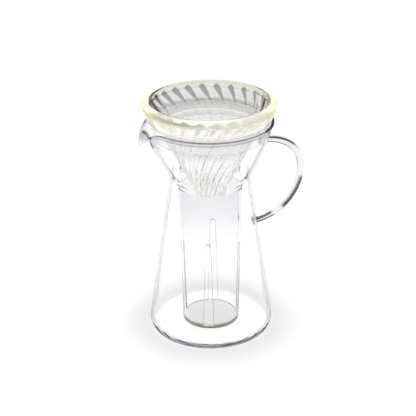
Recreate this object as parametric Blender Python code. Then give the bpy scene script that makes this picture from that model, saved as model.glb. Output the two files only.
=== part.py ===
"""Pour-over coffee set: a glass server with a looped handle, a ribbed dripper and an ice strainer.

Everything is turned about the Z axis. The origin is the middle of the server's underside.
The spout points along -X and the handle along +X. Lengths are in metres.
"""
import math

import bmesh
import bpy
from mathutils import Vector

# Clearance left between pieces that touch, and how far a seated edge stands above its exact seat
SEAT_GAP = 0.0003
SEAT_LIFT = 0.0001

# Server: lower cone, waist, funnel and rim
BASE_RADIUS = 0.0643
BASE_CORNER_WIDTH = 0.0048
BASE_CORNER_HEIGHT = 0.0080
WAIST_RADIUS = 0.0402
WAIST_HEIGHT = 0.1675
WAIST_BLEND = 0.0060
RIM_RADIUS = 0.0632
FUNNEL_BOW = 0.0017
RIM_HEIGHT = 0.2238
SERVER_WALL = 0.0022
SERVER_FLOOR = 0.0042
FLOOR_CORNER = 0.0060
RIM_BEAD = 0.0016

# Spout: where the wall starts to turn out, and the turned-over lip at its middle
SPOUT_ANGLE = math.pi
LIP_START_DROP = 0.0143
LIP_RISE = 0.0150
LIP_REACH = 0.0086
LIP_DROP = 0.0140
LIP_SPREAD = math.radians(13.0)
LIP_DROP_SPREAD = math.radians(10.5)
LIP_CREST_SHARE = 0.25
LIP_CREST_LIFT = 0.0020
SPOUT_BULGE = 0.0030
SPOUT_BULGE_SPREAD = math.radians(17.0)
SPOUT_FINE_STEP = math.radians(2.5)
SPOUT_FINE_STEPS = 14
BODY_COARSE_STEPS = 37

# Handle: a glass rod, thinner at its lower end, with a flared weld at both ends
HANDLE_TOP_DROP = 0.0256
HANDLE_REACH = 0.0998
HANDLE_MIDDLE = 0.1620
HANDLE_LOWER_END = 0.1080
HANDLE_TOP_RADIUS = 0.0040
HANDLE_LOWER_RADIUS = 0.0029
HANDLE_TAPER_START = 0.35
HANDLE_TAPER_SPAN = 0.60
WELD_FLARE = 0.0022
WELD_LENGTH = 0.0050

# Dripper cone with spiral ribs and a rolled rim, placed by the server's rim and waist
DRIPPER_HEIGHT = RIM_HEIGHT + 0.0242
DRIPPER_MOUTH_RADIUS = RIM_RADIUS - 0.0048
DRIPPER_RIM_WIDTH = 0.0084
DRIPPER_RIM_DEPTH = 0.0080
RIM_FLANK_RISE = 0.0012
CONE_BOTTOM = WAIST_HEIGHT - 0.0200
CONE_HOLE_RADIUS = 0.0120
CONE_TOP_INSET = 0.0010
CONE_WALL = 0.0020
RIB_COUNT = 24
RIB_HEIGHT = 0.0015
RIB_START_DROP = 0.0085
RIB_FADE = 0.0040
RIB_SLANT = math.radians(27.0)

# Collar: the tapered skirt under the dripper's rim, with a web that grips the cone
COLLAR_TOP_RADIUS = DRIPPER_MOUTH_RADIUS + 0.0070
COLLAR_MIDDLE_RADIUS = RIM_RADIUS - 0.0042
COLLAR_MIDDLE_HEIGHT = RIM_HEIGHT - 0.0013
COLLAR_FOOT_RADIUS = RIM_RADIUS - 0.0065
COLLAR_WALL = 0.0020
GRIP_TOP = RIM_HEIGHT + 0.0047
GRIP_BOTTOM = RIM_HEIGHT - 0.0033
GRIP_WALL = 0.0015

# Ice strainer: slotted tube, dished seat and floor, hung in the server's waist
TUBE_TOP_RADIUS = WAIST_RADIUS - 0.0082
TUBE_FOOT_RADIUS = TUBE_TOP_RADIUS - 0.0025
TUBE_WALL = 0.0025
TUBE_TOP = WAIST_HEIGHT - 0.0107
STRAINER_LIFT_OFF = 0.0006
STRAINER_FLOOR_THICKNESS = 0.0026
STRAINER_FLOOR_CHAMFER = 0.0006
SLOT_COUNT = 4
SLOT_TOP_WIDTH = 0.0050
SLOT_FOOT_WIDTH = 0.0104
SLOT_TOPS = (0.1035, 0.0930)
SLOT_OVERRUN = 0.0040
STRAINER_TURN = math.radians(65.0)
SEAT_RADIUS = WAIST_RADIUS - 0.0009
SEAT_THICKNESS = 0.0016
SEAT_EDGE_WIDTH = 0.0012
SEAT_EDGE_RISE = 0.0004
SEAT_CORNER_RISE = 0.0024
NECK_TOP = WAIST_HEIGHT + 0.0085
NECK_BORE = TUBE_TOP_RADIUS - 0.0029
NECK_WALL = 0.0015
NECK_TAPER = 0.0030

RING_SEGMENTS = 60


def clear_scene():
    for thing in list(bpy.data.objects):
        bpy.data.objects.remove(thing, do_unlink=True)


def glassy(name, colour, roughness):
    """A clear material: the colour is the tint of its thickest parts."""
    material = bpy.data.materials.new(name)
    material.use_nodes = True
    shader = material.node_tree.nodes["Principled BSDF"]
    shader.inputs["Base Color"].default_value = (*colour, 1.0)
    shader.inputs["Roughness"].default_value = roughness
    shader.inputs["Metallic"].default_value = 0.0
    shader.inputs["Transmission Weight"].default_value = 1.0
    return material


def smooth_step(value):
    """0 below 0, 1 above 1, and an even curve between them."""
    limited = min(max(value, 0.0), 1.0)
    return limited * limited * (3.0 - 2.0 * limited)


def bell(angle, spread):
    return math.exp(-(angle / spread) ** 2)


def bezier(points, place):
    """A point at place (0 to 1) on the cubic curve through four 2-D control points."""
    start, first, second, end = (Vector(point) for point in points)
    rest = 1.0 - place
    leaving = rest ** 3 * start + 3 * rest ** 2 * place * first
    arriving = 3 * rest * place ** 2 * second + place ** 3 * end
    return leaving + arriving


def arc(centre, radius, first, last, steps):
    """Points of an arc in the (radius, height) plane, angles in degrees, both ends included."""
    turned = []
    for step in range(steps + 1):
        angle = math.radians(first + (last - first) * step / steps)
        turned.append((centre[0] + radius * math.cos(angle), centre[1] + radius * math.sin(angle)))
    return turned


def finish(name, mesh, material, sharp_angle=40.0):
    """Make a named object of a mesh, smooth except at its sharp edges."""
    mesh.shade_smooth()
    mesh.set_sharp_from_angle(angle=math.radians(sharp_angle))
    mesh.materials.append(material)
    made = bpy.data.objects.new(name, mesh)
    bpy.context.collection.objects.link(made)
    return made


def skin(name, rows, closed):
    """Bridge rows of points (each a ring about Z) into one body.

    A closed skin joins its last row to its first. An open one ends in a single point at both ends.
    """
    model = bmesh.new()
    rings = [[model.verts.new(point) for point in row] for row in rows]
    pairs = list(zip(rings, rings[1:]))
    if closed:
        pairs.append((rings[-1], rings[0]))
    for near, far in pairs:
        count = max(len(near), len(far))
        for index in range(count):
            following = (index + 1) % count
            if len(near) == 1:
                model.faces.new((near[0], far[following], far[index]))
            elif len(far) == 1:
                model.faces.new((near[index], near[following], far[0]))
            else:
                model.faces.new((near[index], near[following], far[following], far[index]))
    bmesh.ops.recalc_face_normals(model, faces=model.faces)
    mesh = bpy.data.meshes.new(name)
    model.to_mesh(mesh)
    model.free()
    return mesh


def ring(radius, height, segments):
    """One row: a circle about Z, or a single point on the axis."""
    if radius == 0.0:
        return [(0.0, 0.0, height)]
    row = []
    for index in range(segments):
        angle = math.tau * index / segments
        row.append((radius * math.cos(angle), radius * math.sin(angle), height))
    return row


def turned(name, outline, segments):
    """Turn an outline of (radius, height) points about Z."""
    on_axis = outline[0][0] == 0.0
    return skin(name, [ring(radius, height, segments) for radius, height in outline], closed=not on_axis)


# ---------------------------------------------------------------- server

CONE_SLOPE = (BASE_RADIUS - WAIST_RADIUS) / (WAIST_HEIGHT - BASE_CORNER_HEIGHT)
WAIST_SLOPE = (RIM_RADIUS - WAIST_RADIUS + 4.0 * FUNNEL_BOW) / (RIM_HEIGHT - WAIST_HEIGHT)
LIP_START = RIM_HEIGHT - LIP_START_DROP


def server_radius(height):
    """Outer radius of the server above its rounded bottom corner, with the waist blended."""
    lower = WAIST_RADIUS + (WAIST_HEIGHT - height) * CONE_SLOPE
    share = (height - WAIST_HEIGHT) / (RIM_HEIGHT - WAIST_HEIGHT)
    upper = WAIST_RADIUS + (RIM_RADIUS - WAIST_RADIUS) * share + 4.0 * FUNNEL_BOW * share * (1.0 - share)
    gap = abs(height - WAIST_HEIGHT) / WAIST_BLEND
    lift = 0.25 * WAIST_BLEND * (CONE_SLOPE + WAIST_SLOPE) * max(0.0, 1.0 - gap) ** 2
    return max(lower, upper) + lift


def funnel_inside(height):
    """Inner radius of the funnel, measured level."""
    small = 0.0002
    slope = (server_radius(height + small) - server_radius(height - small)) / (2.0 * small)
    return server_radius(height) - SERVER_WALL * math.hypot(1.0, slope)


def funnel_height(inner_radius):
    """Height at which the funnel's inside has this radius, found by halving."""
    low = WAIST_HEIGHT
    high = RIM_HEIGHT
    for _ in range(40):
        middle = 0.5 * (low + high)
        if funnel_inside(middle) < inner_radius:
            low = middle
        else:
            high = middle
    return high


def server_outside(angle, height):
    """A point of the server's outside, with the spout pulled out of the round body."""
    from_spout = (angle - SPOUT_ANGLE + math.pi) % math.tau - math.pi
    rise = smooth_step((height - WAIST_HEIGHT) / (LIP_START - WAIST_HEIGHT))
    radius = server_radius(height) + SPOUT_BULGE * rise * bell(from_spout, SPOUT_BULGE_SPREAD)
    place = (height - LIP_START) / (RIM_HEIGHT - LIP_START)
    if place > 0.0:
        start = server_radius(LIP_START) + SPOUT_BULGE
        tip = RIM_RADIUS + LIP_REACH
        crest = LIP_START + LIP_RISE
        leaving = start + LIP_CREST_SHARE * (tip - start)
        lip = bezier(((start, LIP_START), (leaving, crest),
                      (tip, crest + LIP_CREST_LIFT), (tip, RIM_HEIGHT - LIP_DROP)), place)
        radius += (lip[0] - server_radius(height) - SPOUT_BULGE) * bell(from_spout, LIP_SPREAD)
        height += (lip[1] - height) * bell(from_spout, LIP_DROP_SPREAD)
    return Vector((radius * math.cos(angle), radius * math.sin(angle), height))


def server_frame(angle, height):
    """The outside point, the outward direction and the upward direction along the wall."""
    small = 0.0002
    small_turn = 0.002
    middle = server_outside(angle, height)
    up = (server_outside(angle, height + small) - server_outside(angle, height - small)).normalized()
    around = server_outside(angle + small_turn, height) - server_outside(angle - small_turn, height)
    outward = around.cross(up).normalized()
    return middle, outward, up


def server_angles():
    """Angles about Z, closer together at the spout."""
    fine = [SPOUT_ANGLE + SPOUT_FINE_STEP * step for step in range(-SPOUT_FINE_STEPS, SPOUT_FINE_STEPS + 1)]
    half_fine = SPOUT_FINE_STEP * SPOUT_FINE_STEPS
    first = SPOUT_ANGLE + half_fine
    span = math.tau - 2.0 * half_fine
    coarse = [first + span * step / BODY_COARSE_STEPS for step in range(1, BODY_COARSE_STEPS)]
    return fine + coarse


def server_bowl(material):
    angles = server_angles()
    low = [BASE_CORNER_HEIGHT, 0.040, 0.080, 0.120, 0.150]
    waist = [WAIST_HEIGHT + WAIST_BLEND * step / 2.0 for step in range(-2, 3)]
    funnel = [LIP_START + (WAIST_HEIGHT + WAIST_BLEND - LIP_START) * (1.0 - step / 3.0) for step in (1, 2, 3)]
    lip = [LIP_START + (RIM_HEIGHT - LIP_START) * step / 8.0 for step in range(1, 9)]
    heights = low + waist + funnel + lip

    rows = [[(0.0, 0.0, 0.0)]]
    corner_start = BASE_RADIUS - BASE_CORNER_WIDTH
    for step in range(0, 5):
        turn = math.radians(90.0 * step / 5)
        radius = corner_start + BASE_CORNER_WIDTH * math.sin(turn)
        height = BASE_CORNER_HEIGHT * (1.0 - math.cos(turn))
        rows.append([(radius * math.cos(angle), radius * math.sin(angle), height) for angle in angles])
    for height in heights:
        rows.append([server_outside(angle, height) for angle in angles])
    bead_steps = 5
    for step in range(0, bead_steps + 1):
        turn = math.pi * step / bead_steps
        bead = []
        for angle in angles:
            middle, outward, up = server_frame(angle, RIM_HEIGHT)
            centre = middle - outward * SERVER_WALL / 2.0 + up * RIM_BEAD * 0.5
            bead.append(centre + (outward * math.cos(turn) + up * math.sin(turn)) * RIM_BEAD)
        rows.append(bead)
    inside_heights = [height for height in heights if height > 2.0 * SERVER_FLOOR + FLOOR_CORNER]
    for height in reversed(inside_heights):
        frames = [server_frame(angle, height) for angle in angles]
        rows.append([middle - outward * SERVER_WALL for middle, outward, up in frames])
    inner_radius = server_radius(SERVER_FLOOR + FLOOR_CORNER) - SERVER_WALL
    centre = (inner_radius - FLOOR_CORNER, SERVER_FLOOR + FLOOR_CORNER)
    for radius, height in arc(centre, FLOOR_CORNER, 0.0, -90.0, 4):
        rows.append([(radius * math.cos(angle), radius * math.sin(angle), height) for angle in angles])
    rows.append([(0.0, 0.0, SERVER_FLOOR)])
    return finish("server_bowl", skin("server_bowl", rows, closed=False), material)


def handle_path():
    """Centre line of the rod in the XZ plane, from inside the funnel wall to inside the lower cone."""
    top = RIM_HEIGHT - HANDLE_TOP_DROP
    top_start = server_radius(top) - SERVER_WALL
    low_start = server_radius(HANDLE_LOWER_END) - SERVER_WALL
    reach = HANDLE_REACH
    upper = ((top_start, top), (0.80 * reach, top), (reach, 0.55 * top + 0.45 * HANDLE_MIDDLE + 0.003),
             (reach, HANDLE_MIDDLE))
    lower = ((reach, HANDLE_MIDDLE), (reach, 0.5 * (HANDLE_MIDDLE + HANDLE_LOWER_END)),
             (0.79 * reach, HANDLE_LOWER_END + 0.0020), (low_start, HANDLE_LOWER_END))
    steps = 14
    path = [bezier(upper, step / steps) for step in range(steps)]
    path += [bezier(lower, step / steps) for step in range(steps + 1)]
    return path


def handle_radius(travelled, length):
    """Rod radius: an even taper, flared where it is welded to the body."""
    share = travelled / length
    narrowing = smooth_step((share - HANDLE_TAPER_START) / HANDLE_TAPER_SPAN)
    taper = HANDLE_TOP_RADIUS + (HANDLE_LOWER_RADIUS - HANDLE_TOP_RADIUS) * narrowing
    weld_start = SERVER_WALL
    top_weld = max(0.0, 1.0 - max(0.0, travelled - weld_start) / WELD_LENGTH)
    low_weld = max(0.0, 1.0 - max(0.0, length - travelled - weld_start) / WELD_LENGTH)
    return taper + WELD_FLARE * (top_weld ** 2 + low_weld ** 2)


def server_handle(material, sides=12):
    """A round rod along the path, its ends cut to the shape of the server's wall."""
    path = handle_path()
    distances = [0.0]
    for near, far in zip(path, path[1:]):
        distances.append(distances[-1] + (far - near).length)
    rows = [[(path[0][0], 0.0, path[0][1])]]
    for index, point in enumerate(path):
        before = path[max(index - 1, 0)]
        after = path[min(index + 1, len(path) - 1)]
        along = (after - before).normalized()
        across = Vector((along[1], 0.0, -along[0]))
        radius = handle_radius(distances[index], distances[-1])
        centre = Vector((point[0], 0.0, point[1]))
        row = []
        for side in range(sides):
            turn = math.tau * side / sides
            row.append(centre + radius * (across * math.cos(turn) + Vector((0.0, 1.0, 0.0)) * math.sin(turn)))
        rows.append(row)
    rows.append([(path[-1][0], 0.0, path[-1][1])])
    rod = finish("server_handle", skin("server_handle", rows, closed=False), material)

    outline = [(0.0, BASE_CORNER_HEIGHT)]
    for step in range(0, 25):
        height = BASE_CORNER_HEIGHT + (RIM_HEIGHT - BASE_CORNER_HEIGHT) * step / 24
        outline.append((server_radius(height) + SEAT_GAP, height))
    outline.append((0.0, RIM_HEIGHT))
    wall = finish("handle_cutter", turned("handle_cutter", outline, 96), material)
    wall.hide_render = True
    wall.display_type = "WIRE"
    cut = rod.modifiers.new("follow_wall", "BOOLEAN")
    cut.operation = "DIFFERENCE"
    cut.solver = "EXACT"
    cut.object = wall
    return rod


# ---------------------------------------------------------------- dripper

RIM_UNDERSIDE = DRIPPER_HEIGHT - DRIPPER_RIM_DEPTH
CONE_SPREAD = (DRIPPER_MOUTH_RADIUS - CONE_TOP_INSET - CONE_HOLE_RADIUS) / (RIM_UNDERSIDE - CONE_BOTTOM)
CONE_THICKNESS = CONE_WALL * math.hypot(1.0, CONE_SPREAD)


def cone_inside(height):
    return CONE_HOLE_RADIUS + (height - CONE_BOTTOM) * CONE_SPREAD


def cone_outside(height):
    return cone_inside(height) + CONE_THICKNESS


def rib_turn(radius):
    """How far the ribs have turned, clockwise from above, where the cone has this radius.

    The turn is even along the wall, so the ribs slant most at the mouth and hardly at the hole.
    """
    half_angle = math.atan(CONE_SPREAD)
    travelled = (DRIPPER_MOUTH_RADIUS - radius) / math.sin(half_angle)
    return -travelled * math.tan(RIB_SLANT) / DRIPPER_MOUTH_RADIUS


def dripper_cone(material):
    """The cone. Its columns of points follow the spiral, so each rib keeps a clean ridge."""
    rib_shape = (0.0, 0.0, 1.0)
    columns = RIB_COUNT * len(rib_shape)
    rim_radius = DRIPPER_RIM_WIDTH / 2.0
    rim_centre = (DRIPPER_MOUTH_RADIUS + rim_radius, DRIPPER_HEIGHT - rim_radius)
    outline = [(radius, height, 0.0) for radius, height in arc(rim_centre, rim_radius, 180.0, 0.0, 6)]
    outline.append((rim_centre[0] + 0.94 * rim_radius, RIM_UNDERSIDE + RIM_FLANK_RISE, 0.0))
    outline.append((rim_centre[0] + 0.70 * rim_radius, RIM_UNDERSIDE, 0.0))
    outline.append((cone_outside(RIM_UNDERSIDE), RIM_UNDERSIDE, 0.0))
    steps = 5
    depth = RIM_UNDERSIDE - CONE_BOTTOM
    for step in range(1, steps + 1):
        height = RIM_UNDERSIDE - depth * step / steps
        outline.append((cone_outside(height), height, 0.0))
    rib_top = DRIPPER_HEIGHT - RIB_START_DROP
    for step in range(steps, -1, -1):
        height = rib_top - (rib_top - CONE_BOTTOM) * step / steps
        grown = min(1.0, (rib_top - height) / RIB_FADE)
        outline.append((cone_inside(height), height, RIB_HEIGHT * grown))

    rows = []
    for radius, height, rib in outline:
        turn = rib_turn(min(radius, DRIPPER_MOUTH_RADIUS))
        row = []
        for column in range(columns):
            angle = math.tau * (column + 0.5) / columns + turn
            depth_here = radius - rib * rib_shape[column % len(rib_shape)]
            row.append((depth_here * math.cos(angle), depth_here * math.sin(angle), height))
        rows.append(row)
    return finish("dripper_cone", skin("dripper_cone", rows, closed=True), material, sharp_angle=25.0)


def dripper_collar(material):
    """Skirt from under the rim to its seat in the funnel, with a web and a grip around the cone."""
    top = RIM_UNDERSIDE - SEAT_GAP
    foot = funnel_height(COLLAR_FOOT_RADIUS + SEAT_GAP) + SEAT_LIFT
    taper = (COLLAR_TOP_RADIUS - COLLAR_MIDDLE_RADIUS) / (top - COLLAR_MIDDLE_HEIGHT)
    skirt_at_web = COLLAR_MIDDLE_RADIUS + (GRIP_TOP - COLLAR_MIDDLE_HEIGHT) * taper - COLLAR_WALL
    web_thickness = COLLAR_WALL
    web_under = GRIP_TOP - web_thickness
    outline = [
        (COLLAR_TOP_RADIUS - COLLAR_WALL, top),
        (COLLAR_TOP_RADIUS, top),
        (COLLAR_MIDDLE_RADIUS, COLLAR_MIDDLE_HEIGHT),
        (COLLAR_FOOT_RADIUS, foot),
        (COLLAR_FOOT_RADIUS - COLLAR_WALL, foot),
        (COLLAR_MIDDLE_RADIUS - COLLAR_WALL, COLLAR_MIDDLE_HEIGHT),
        (skirt_at_web - web_thickness * taper, web_under),
        (cone_outside(web_under) + SEAT_GAP + GRIP_WALL, web_under),
        (cone_outside(GRIP_BOTTOM) + SEAT_GAP + GRIP_WALL, GRIP_BOTTOM),
        (cone_outside(GRIP_BOTTOM) + SEAT_GAP, GRIP_BOTTOM),
        (cone_outside(GRIP_TOP) + SEAT_GAP, GRIP_TOP),
        (skirt_at_web, GRIP_TOP),
    ]
    return finish("dripper_collar", turned("dripper_collar", outline, RING_SEGMENTS), material)


# ---------------------------------------------------------------- strainer

STRAINER_FOOT = SERVER_FLOOR + STRAINER_LIFT_OFF
TUBE_FOOT = STRAINER_FOOT + STRAINER_FLOOR_THICKNESS + SEAT_GAP


def tube_radius(height):
    share = (height - TUBE_FOOT) / (TUBE_TOP - TUBE_FOOT)
    return TUBE_FOOT_RADIUS + (TUBE_TOP_RADIUS - TUBE_FOOT_RADIUS) * share


def slot_cutter(index, material):
    """A wedge through the tube's wall: wide and open at the foot, narrow and round at the top."""
    slot_top = SLOT_TOPS[index % len(SLOT_TOPS)]
    below = TUBE_FOOT - SLOT_OVERRUN
    half_top = SLOT_TOP_WIDTH / 2.0
    half_foot = SLOT_FOOT_WIDTH / 2.0
    outline = [(-half_foot, below), (half_foot, below)]
    outline += arc((0.0, slot_top - half_top), half_top, 0.0, 180.0, 8)
    model = bmesh.new()
    inner = TUBE_FOOT_RADIUS * 0.5
    outer = TUBE_TOP_RADIUS * 1.5
    near = [model.verts.new((inner, across, height)) for across, height in outline]
    far = [model.verts.new((outer, across, height)) for across, height in outline]
    model.faces.new(near)
    model.faces.new(list(reversed(far)))
    for place in range(len(outline)):
        following = (place + 1) % len(outline)
        model.faces.new((near[place], far[place], far[following], near[following]))
    bmesh.ops.recalc_face_normals(model, faces=model.faces)
    mesh = bpy.data.meshes.new("slot_cutter_%d" % index)
    model.to_mesh(mesh)
    model.free()
    cutter = finish("slot_cutter_%d" % index, mesh, material)
    cutter.rotation_euler[2] = STRAINER_TURN + math.tau * index / SLOT_COUNT
    cutter.hide_render = True
    cutter.display_type = "WIRE"
    return cutter


def strainer_tube(material):
    steps = 4
    heights = [TUBE_FOOT + (TUBE_TOP - TUBE_FOOT) * step / steps for step in range(steps + 1)]
    outline = [(tube_radius(height), height) for height in heights]
    outline += [(tube_radius(height) - TUBE_WALL, height) for height in reversed(heights)]
    tube = finish("strainer_tube", turned("strainer_tube", outline, RING_SEGMENTS), material)
    for index in range(SLOT_COUNT):
        cut = tube.modifiers.new("slot_%d" % index, "BOOLEAN")
        cut.operation = "DIFFERENCE"
        cut.solver = "EXACT"
        cut.object = slot_cutter(index, material)
    return tube


def strainer_seat(material):
    """Neck ring and dished flange: the flange's edge rests in the funnel just above the waist."""
    low = TUBE_TOP + SEAT_GAP
    edge = funnel_height(SEAT_RADIUS + SEAT_GAP) + SEAT_LIFT
    neck_outside = NECK_BORE + NECK_WALL
    bore_foot = tube_radius(TUBE_TOP) - TUBE_WALL
    outline = [
        (NECK_BORE, NECK_TOP),
        (NECK_BORE, low + NECK_TAPER),
        (bore_foot, low),
        (tube_radius(TUBE_TOP), low),
        (SEAT_RADIUS, edge),
        (SEAT_RADIUS, edge + SEAT_THICKNESS),
        (SEAT_RADIUS - SEAT_EDGE_WIDTH, edge + SEAT_THICKNESS + SEAT_EDGE_RISE),
        (neck_outside, low + SEAT_THICKNESS + SEAT_CORNER_RISE),
        (neck_outside, NECK_TOP),
    ]
    return finish("strainer_seat", turned("strainer_seat", outline, RING_SEGMENTS), material)


def strainer_floor(material):
    top = STRAINER_FOOT + STRAINER_FLOOR_THICKNESS
    outline = [
        (0.0, STRAINER_FOOT),
        (TUBE_FOOT_RADIUS - STRAINER_FLOOR_CHAMFER, STRAINER_FOOT),
        (TUBE_FOOT_RADIUS, STRAINER_FOOT + STRAINER_FLOOR_CHAMFER),
        (TUBE_FOOT_RADIUS, top),
        (0.0, top),
    ]
    return finish("strainer_floor", turned("strainer_floor", outline, RING_SEGMENTS), material)


def build():
    clear_scene()
    server_glass = glassy("server_glass", (0.93, 0.94, 0.97), 0.02)
    handle_glass = glassy("handle_glass", (0.93, 0.95, 0.97), 0.02)
    dripper_clear = glassy("dripper_clear", (0.95, 0.95, 0.90), 0.04)
    collar_clear = glassy("collar_clear", (0.96, 0.93, 0.78), 0.05)
    strainer_clear = glassy("strainer_clear", (0.93, 0.94, 0.97), 0.06)
    floor_clear = glassy("strainer_floor_clear", (0.86, 0.85, 0.76), 0.10)
    server_bowl(server_glass)
    server_handle(handle_glass)
    dripper_cone(dripper_clear)
    dripper_collar(collar_clear)
    strainer_tube(strainer_clear)
    strainer_seat(strainer_clear)
    strainer_floor(floor_clear)


build()
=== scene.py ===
# %% [markdown]
# # A pour-over coffee set
#
# The set is three loose things that nest on one upright axis: a waisted glass server with a
# looped glass handle, a slotted ice strainer that hangs in its waist, and a ribbed dripper with
# a thick warm-tinted rim. Nearly everything is clear, so the look comes from wall thickness,
# rounded edges, and soft tints that stand in for the dark room a real glass would show.

# %% Load the CAD frame
import bmesh
import bpy
import math
from mathutils import Matrix, Vector


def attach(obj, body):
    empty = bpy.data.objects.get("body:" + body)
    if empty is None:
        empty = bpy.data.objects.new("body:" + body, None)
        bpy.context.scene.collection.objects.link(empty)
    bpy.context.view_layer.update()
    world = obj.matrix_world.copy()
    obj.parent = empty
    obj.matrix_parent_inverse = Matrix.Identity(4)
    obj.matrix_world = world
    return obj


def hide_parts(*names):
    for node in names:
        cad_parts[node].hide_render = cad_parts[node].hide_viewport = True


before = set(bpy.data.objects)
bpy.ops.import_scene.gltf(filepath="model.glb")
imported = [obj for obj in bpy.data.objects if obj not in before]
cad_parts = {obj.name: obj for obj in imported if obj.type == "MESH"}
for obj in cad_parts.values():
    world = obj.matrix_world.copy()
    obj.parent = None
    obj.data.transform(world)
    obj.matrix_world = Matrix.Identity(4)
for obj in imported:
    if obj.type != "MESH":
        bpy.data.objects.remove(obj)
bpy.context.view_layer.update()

# %% [markdown]
# Sizes are in metres, and they repeat the CAD part's. Each one is named once here, where the
# pieces below can share it, as the collar does with the funnel that it sits in. Some things
# differ from the CAD, mainly that the spout's wall is drawn thinner, the ribs start nearer the
# mouth, and the dripper's rim is a ring of its own.

# %% Sizes shared by the pieces
BASE_RADIUS = 0.0643
BASE_CORNER_WIDTH = 0.0048
BASE_CORNER_HEIGHT = 0.0080
WAIST_RADIUS = 0.0402
WAIST_HEIGHT = 0.1675
WAIST_BLEND = 0.0060
RIM_RADIUS = 0.0632
RIM_HEIGHT = 0.2238
FUNNEL_BOW = 0.0017
SERVER_WALL = 0.0022
SERVER_FLOOR = 0.0042
FLOOR_CORNER = 0.0060
RIM_BEAD = 0.0016
SPOUT_BULGE = 0.0030
SPOUT_BULGE_SPREAD = math.radians(17.0)
LIP_START = RIM_HEIGHT - 0.0143
LIP_CREST = LIP_START + 0.0150
LIP_TIP = (RIM_RADIUS + 0.0086, RIM_HEIGHT - 0.0140)
LIP_CREST_SHARE = 0.25
LIP_CREST_LIFT = 0.0020
LIP_SPREAD = math.radians(13.0)
LIP_DROP_SPREAD = math.radians(10.5)
SEAT_GAP = 0.0003
SEAT_LIFT = 0.0001
DRIPPER_HEIGHT = 0.2480
MOUTH_RADIUS = 0.0584
DRIPPER_RIM_WIDTH = 0.0084
CONE_BOTTOM = 0.1475
CONE_HOLE = 0.0120
CONE_WALL = 0.0020
GRIP_TOP = 0.2285
GRIP_BOTTOM = 0.2205
TUBE_FOOT_RADIUS = 0.0295
TUBE_TOP_RADIUS = 0.0320
TUBE_WALL = 0.0025
TUBE_TOP = 0.1568
STRAINER_FOOT = SERVER_FLOOR + 0.0006
STRAINER_FLOOR_TOP = STRAINER_FOOT + 0.0026
TUBE_FOOT = STRAINER_FLOOR_TOP + SEAT_GAP
STRAINER_TURN = math.radians(65.0)

# %% [markdown]
# ## Helpers for round things
#
# Almost every piece is turned about the axis, as on a lathe. A profile is a list of (radius,
# height) points, and its corners are rounded before it is turned, because a sharp edge on
# clear material catches no light and looks like a computer drawing.

# %% Profile and mesh helpers
def smooth_step(value):
    """A soft rise from 0 to 1 as the value goes from 0 to 1."""
    limited = min(max(value, 0.0), 1.0)
    return limited * limited * (3.0 - 2.0 * limited)


def bell(distance, spread):
    """1 at no distance, fading smoothly to 0 a few spreads away."""
    return math.exp(-(distance / spread) ** 2)


def window(value, low, high, soft):
    """1 between low and high, with a soft step inside each end."""
    return smooth_step((value - low) / soft) * smooth_step((high - value) / soft)


def between(low, high, steps):
    """Evenly spaced values after low, up to and including high."""
    return [low + (high - low) * step / steps for step in range(1, steps + 1)]


def curve_point(points, place):
    """A point at place (0 to 1) on the cubic curve through four control points."""
    a, b, c, d = (Vector(point) for point in points)
    rest = 1.0 - place
    return rest ** 3 * a + 3 * rest ** 2 * place * b + 3 * rest * place ** 2 * c + place ** 3 * d


def rounded(outline, radius, steps=5):
    """A closed outline with each corner turned on a small quadratic curve."""
    result = []
    for index, corner in enumerate(outline):
        corner = Vector(corner)
        before = Vector(outline[index - 1]) - corner
        after = Vector(outline[(index + 1) % len(outline)]) - corner
        cut = min(radius, 0.45 * before.length, 0.45 * after.length)
        if before.angle(after) > math.radians(168.0):
            result.append(tuple(corner))
            continue
        start = corner + before.normalized() * cut
        end = corner + after.normalized() * cut
        for step in range(steps + 1):
            place = step / steps
            nearer = (1 - place) ** 2 * start + 2 * place * (1 - place) * corner
            result.append(tuple(nearer + place ** 2 * end))
    return result


def mesh_from_rows(name, rows, closed):
    """Bridge rows of points. An open skin has one point as its first and last row."""
    model = bmesh.new()
    rings = [[model.verts.new(point) for point in row] for row in rows]
    pairs = list(zip(rings, rings[1:]))
    if closed:
        pairs.append((rings[-1], rings[0]))
    for near, far in pairs:
        count = max(len(near), len(far))
        for index in range(count):
            nxt = (index + 1) % count
            if len(near) == 1:
                model.faces.new((near[0], far[nxt], far[index]))
            elif len(far) == 1:
                model.faces.new((near[index], near[nxt], far[0]))
            else:
                model.faces.new((near[index], near[nxt], far[nxt], far[index]))
    bmesh.ops.recalc_face_normals(model, faces=model.faces)
    mesh = bpy.data.meshes.new(name)
    model.to_mesh(mesh)
    model.free()
    return mesh


def place_piece(name, mesh, material, node, body, sharp=50.0):
    """Put a finished mesh in the scene in place of its CAD node."""
    mesh.shade_smooth()
    mesh.set_sharp_from_angle(angle=math.radians(sharp))
    mesh.materials.clear()
    mesh.materials.append(material)
    piece = bpy.data.objects.new(name, mesh)
    bpy.context.collection.objects.link(piece)
    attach(piece, body)
    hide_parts(node)
    print("%s: %d faces" % (name, len(mesh.polygons)))
    return piece


def ring(radius, height, turns):
    """One row of points on a circle about the axis."""
    return [(radius * math.cos(turn), radius * math.sin(turn), height) for turn in turns]


def lathe(outline, segments):
    """Turn an outline of (radius, height) points about the axis. A zero radius gives one point."""
    turns = [math.tau * index / segments for index in range(segments)]
    return [[(0.0, 0.0, height)] if radius == 0.0 else ring(radius, height, turns)
            for radius, height in outline]


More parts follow.
